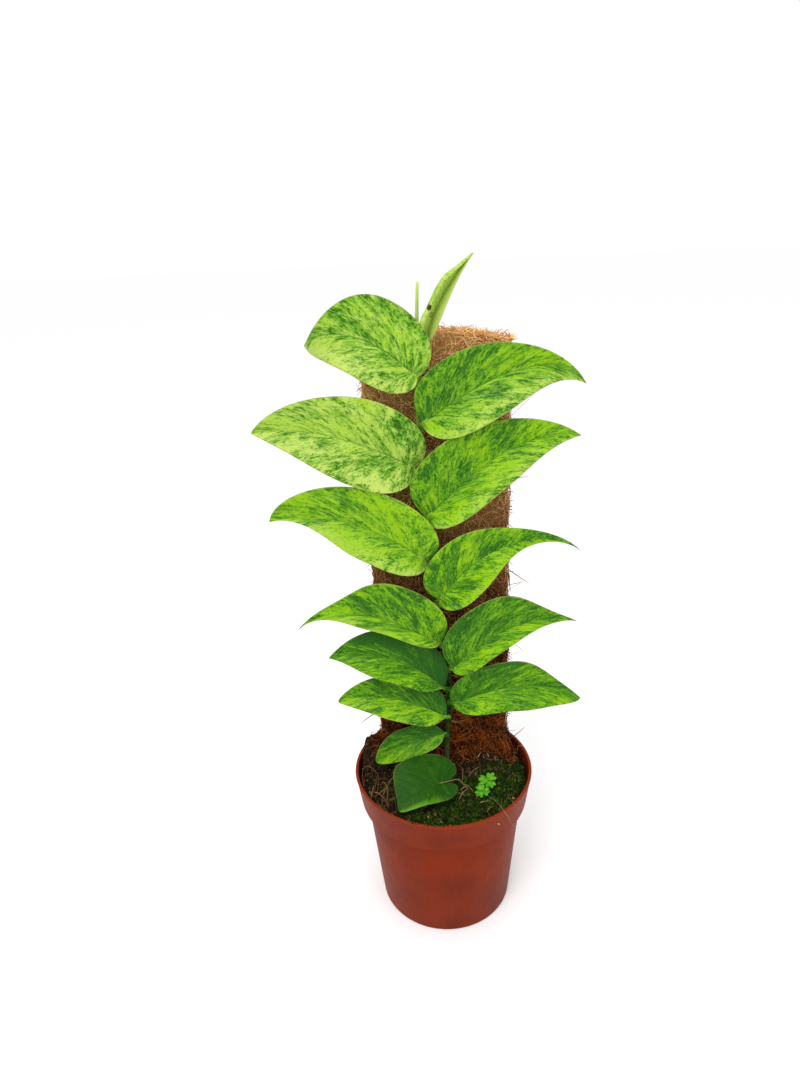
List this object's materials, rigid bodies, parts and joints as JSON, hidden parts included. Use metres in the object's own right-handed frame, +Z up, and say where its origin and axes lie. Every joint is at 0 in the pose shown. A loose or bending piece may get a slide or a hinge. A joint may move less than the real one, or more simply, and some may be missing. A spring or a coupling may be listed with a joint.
{
  "type": "potted variegated shingling aroid on a coir board",
  "caption": "Young climbing plant with marbled leaves lying in two ranks over a coir board, rooted in the mossy soil of a round tapered pot; stands on a flat foot.",
  "frame": {"origin": "centre of the flat foot of the pot, on the surface the pot stands on", "axes": "+Z up along the pot; -Y towards the side the leaves face; +X to the right of a viewer who faces the leaves"},
  "size_m": [0.2129, 0.13, 0.4685],
  "materials": {
    "pot": "satin moulded",
    "soil": "rough, mossy",
    "plank": "rough sawn",
    "coir": "fibrous",
    "stem": "satin",
    "leaf": "satin, marbled",
    "dark_leaf": "satin",
    "young_leaf": "satin",
    "root": "matte",
    "seedling": "satin"
  },
  "bodies": {
    "root": {"pot": "pot", "soil": "soil", "board_plank": "plank", "board_coir": "coir", "stem": "stem", "leaf_01": "leaf", "leaf_02": "leaf", "leaf_03": "leaf", "leaf_04": "leaf", "leaf_05": "leaf", "leaf_06": "leaf", "leaf_07": "leaf", "leaf_08": "leaf", "leaf_09": "leaf", "leaf_10": "leaf", "leaf_11": "leaf", "leaf_12": "dark_leaf", "leaf_13": "dark_leaf", "new_leaf": "young_leaf", "shoot_tip": "young_leaf", "surface_roots": "root", "seedling_1": "seedling", "seedling_2": "seedling"}
  },
  "joints": []
}
